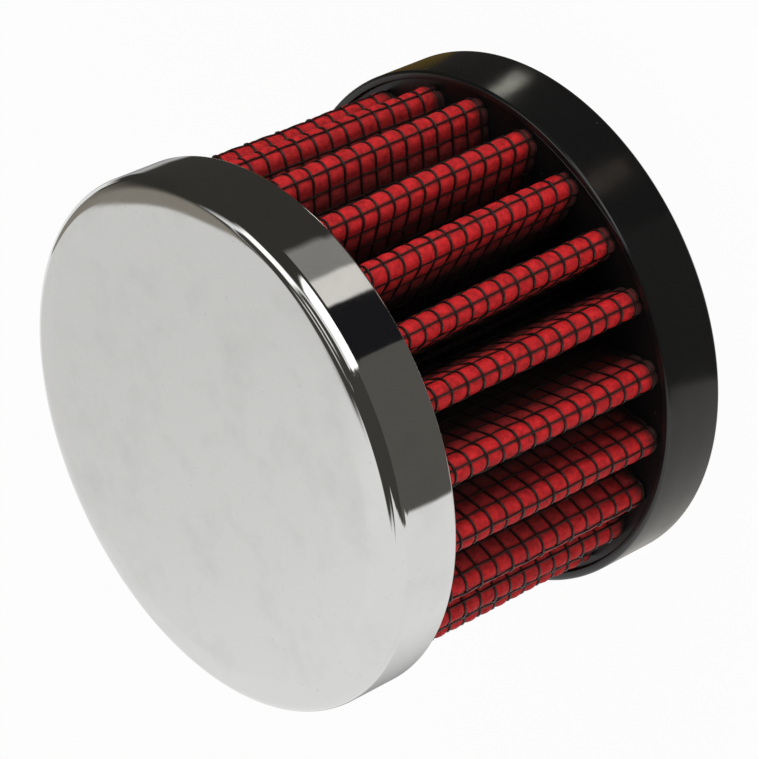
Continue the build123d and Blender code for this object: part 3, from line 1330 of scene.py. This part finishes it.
@dataclass
class Studio:
    """Pale floor, plain soft light, the cards that the chrome reflects, and the camera."""

    eye: tuple[float, float, float] = (247.245, 40.215, 207.40)
    right: tuple[float, float, float] = (0.58326, -0.32625, -0.74389)
    up: tuple[float, float, float] = (0.08846, 0.93586, -0.34108)
    lens: float = 157.896
    sensor: float = 36.0
    soft_light: float = 0.3
    white: tuple[float, float, float, float] = (1.0, 1.0, 1.0, 1.0)
    floor_paint: str = "f4f4f4"
    floor_share: float = 0.96
    floor_size: float = 6000.0
    floor_drop: float = 0.02
    lamp_target: tuple[float, float, float] = (0.0, 0.0, 32.0)

    def camera(self) -> None:
        """Puts the camera where the photograph was taken from."""
        data = bpy.data.cameras.new("camera")
        camera = bpy.data.objects.new("camera", data)
        bpy.context.scene.collection.objects.link(camera)
        data.lens, data.sensor_width = self.lens, self.sensor
        data.clip_start, data.clip_end = 0.01, 50.0
        right, up = Vector(self.right).normalized(), Vector(self.up).normalized()
        back = right.cross(up).normalized()
        turn = Matrix((right, back.cross(right), back)).transposed().to_4x4()
        camera.matrix_world = Matrix.Translation(Vector(self.eye) * MM) @ turn
        bpy.context.scene.camera = camera

    def seen(self, tree: bpy.types.NodeTree) -> Socket:
        """1 for what the eye and the reflections see, 0 for what lights the pieces."""
        rays = [add_node(tree, "LightPath", out=f"Is {kind} Ray") for kind in ("Camera", "Glossy")]
        return add_node(tree, "Math", {"operation": "MAXIMUM", 0: rays[0], 1: rays[1]})

    def world(self) -> None:
        """White surround for the eye and the reflections, and a plain level of soft light."""
        world = bpy.data.worlds.new("soft_surround")
        bpy.context.scene.world = world
        world.use_nodes = True
        tree = world.node_tree
        tree.nodes.clear()
        soft = add_node(tree, "Background", {"Color": self.white, "Strength": self.soft_light})
        bright = add_node(tree, "Background", {"Color": self.white, "Strength": 1.0})
        mix = add_node(tree, "MixShader", {0: self.seen(tree), 1: soft, 2: bright})
        add_node(tree, "OutputWorld", {"Surface": mix})

    def floor(self) -> None:
        """A pale floor that shows nearly white and keeps a soft shadow."""
        Bench.clear()
        bpy.ops.mesh.primitive_plane_add(
            size=self.floor_size * MM, location=(0, 0, -self.floor_drop * MM)
        )
        floor = Bench.name("floor")
        Bench.settle_origin()
        material, tree = blank_material("pale_floor")
        share = add_node(tree, "Math", {
            "operation": "MULTIPLY", 0: self.seen(tree), 1: self.floor_share})
        paint = add_node(tree, "BsdfDiffuse", {"Color": linear(self.floor_paint)})
        bright = add_node(tree, "Emission", {"Color": self.white, "Strength": 1.0})
        mix = add_node(tree, "MixShader", {0: share, 1: paint, 2: bright})
        add_node(tree, "OutputMaterial", {"Surface": mix})
        floor.data.materials.append(material)

    def lamp(self, name: str, place: tuple[float, float, float], size: float, watts: float
             ) -> None:
        """A soft square lamp that faces the middle of the part and isn't seen in the chrome."""
        data = bpy.data.lights.new(name, "AREA")
        data.size, data.energy = size * MM, watts
        lamp = bpy.data.objects.new(name, data)
        bpy.context.scene.collection.objects.link(lamp)
        lamp.location = Vector(place) * MM
        lamp.rotation_mode = "QUATERNION"
        towards = Vector(self.lamp_target) * MM - lamp.location
        lamp.rotation_quaternion = towards.to_track_quat("-Z", "Y")
        lamp.visible_glossy = False

    def build(self) -> None:
        """Sets up the studio."""
        self.camera()
        self.world()
        self.floor()
        for light in [*self.walls(), *self.floor_cards(), *self.panels()]:
            light.build()
        self.lamp("key", (380.0, 620.0, 200.0), 500.0, 4.6)
        self.lamp("fill", (520.0, -300.0, 300.0), 600.0, 2.0)

    def walls(self) -> list[Card]:
        """The cards that stand round the part and over it: where they start and end, in degrees
        round it and up, their light, the width of their four edges and how far these waver."""
        charcoal, black, dark = (0.115, 0.11, 0.10), (0.045, 0.042, 0.038), (0.062, 0.058, 0.053)
        brown, pale, bright = (0.31, 0.285, 0.245), (0.84, 0.835, 0.83), (1.9, 1.9, 1.87)
        return [
            Card("charcoal_wall", -45.5, 16.0, -12.0, 12.0, charcoal, (2.5, 1.0, 3.0, 8.0), 6.0),
            Card("dark_wall", -45.5, 16.0, 6.0, 62.0, dark, (2.5, 2.0, 14.0, 10.0), 5.0, 610.0),
            Card("dark_ceiling", -75.0, 194.0, 54.6, 89.0, dark, (20.0, 8.0, 1.6, 1.0), 1.0,
                 620.0),
            Card("far_ceiling", 188.0, 300.0, 64.5, 89.0, dark, (4.0, 20.0, 4.0, 1.0), 2.0,
                 615.0),
            Card("black_wall", 50.0, 154.0, -12.0, 48.0, black, (1.0, 6.0, 3.0, 10.0)),
            Card("brown_wall", 150.0, 170.9, 2.0, 50.0, brown, (30.0, 1.2, 6.0, 5.0), 1.0, 595.0),
            Card("shaded_wall", 140.0, 170.4, 0.0, 54.0, dark, (4.0, 1.2, 6.0, 3.0), 1.0, 605.0),
            Card("pale_wall", 160.0, 192.0, 12.0, 60.0, pale, (1.0, 18.0, 6.0, 4.0), 2.0, 700.0),
            Card("bright_panel", 14.3, 52.3, -4.0, 41.0, bright, (1.6, 3.0, 4.0, 5.0), 2.0,
                 590.0),
        ]

    def floor_cards(self) -> list[Card]:
        """The cards that lie over the floor: as above, but millimetres out from the part's axis
        instead of degrees up, and last how high they lie."""
        charcoal, black, deep = (0.115, 0.11, 0.10), (0.045, 0.042, 0.038), (0.014, 0.014, 0.016)
        shaded, far, tan = (0.64, 0.62, 0.59), (0.3, 0.3, 0.3), (0.14, 0.095, 0.024)
        pale, grey, brown = (0.92, 0.89, 0.85), (0.29, 0.285, 0.275), (0.55, 0.44, 0.36)
        glint = (2.8, 2.8, 2.4)
        rows = (
            ("charcoal_floor", -40.0, 16.0, 30.0, 605.0, charcoal, (2.0, 1.0, 1.0, 6.0), 7.0, 0.35),
            ("shaded_floor", -150.0, -34.0, 28.0, 56.0, shaded, (60.0, 2.0, 1.0, 14.0), 2.0, 0.4),
            ("far_shade", -215.0, -118.0, 58.0, 120.0, far, (30.0, 60.0, 14.0, 40.0), 2.0, 0.2),
            ("black_floor", 9.0, 115.5, 27.0, 605.0, black, (1.0, 2.0, 1.0, 6.0), 2.0, 0.3),
            ("deep_floor", 9.0, 37.0, 62.0, 605.0, deep, (1.0, 2.0, 6.0, 6.0), 2.0, 0.32),
            ("black_floor_end", 113.0, 147.0, 62.0, 605.0, black, (3.0, 8.0, 6.0, 6.0), 2.0, 0.35),
            ("pale_strip", 37.0, 48.0, 66.0, 150.0, pale, (1.6, 2.0, 6.0, 8.0), 2.0, 0.5),
            ("grey_strip", 47.0, 62.0, 66.0, 150.0, grey, (2.0, 4.0, 6.0, 8.0), 4.0, 0.45),
            ("brown_patch", 31.0, 37.5, 40.0, 62.0, brown, (3.0, 2.0, 4.0, 4.0), 2.0, 0.5),
            ("floor_glint", 77.0, 83.0, 38.0, 52.0, glint, (3.0, 3.0, 5.0, 5.0), 5.0, 0.5),
            ("tan_floor", 112.0, 185.0, 27.0, 60.0, tan, (4.0, 20.0, 1.0, 6.0), 2.0, 0.55),
        )
        return [Card(*row, lying=True) for row in rows]

    def panels(self) -> list[Panel]:
        """The lamps over the part."""
        return [
            Panel("long_lamp", ((54.2, 48.6), (95.3, 34.7), (104.4, 72.5), (124.7, 52.7)), 1.9,
                  0.26),
            Panel("tube_lamp", ((189.9, 76.6), (148.4, 66.1), (192.7, 86.6), (124.8, 68.6)), 0.9),
            Panel("second_tube_lamp", ((47.0, 82.0), (96.2, 69.4), (28.8, 72.7), (76.7, 63.8)),
                  1.1),
        ]


# ---------------------------------------------------------------- the filter

@dataclass
class VentFilter:
    """The whole filter."""

    sizes: FilterSizes

    def build(self) -> None:
        """Builds every piece in the order of assembly."""
        path = FoldedPath(self.sizes)
        folding = HandFolding(self.sizes)
        wire = CoatedWire().make()
        Base(self.sizes).build()
        PleatedGauze(self.sizes, path, folding).build()
        OuterScreen(self.sizes, path, folding).build(wire)
        InnerScreen(self.sizes, path, folding).build(wire)
        CapSeal(self.sizes).build()
        EndCap(self.sizes).build()


def main() -> None:
    """Builds the filter and the studio."""
    logging.basicConfig(level=logging.INFO, format="%(name)s: %(message)s")
    settings = bpy.context.scene.view_settings
    settings.view_transform = "Standard"
    VentFilter(FilterSizes()).build()
    Studio().build()
    Bench.clear()


if __name__ == "__main__":
    main()
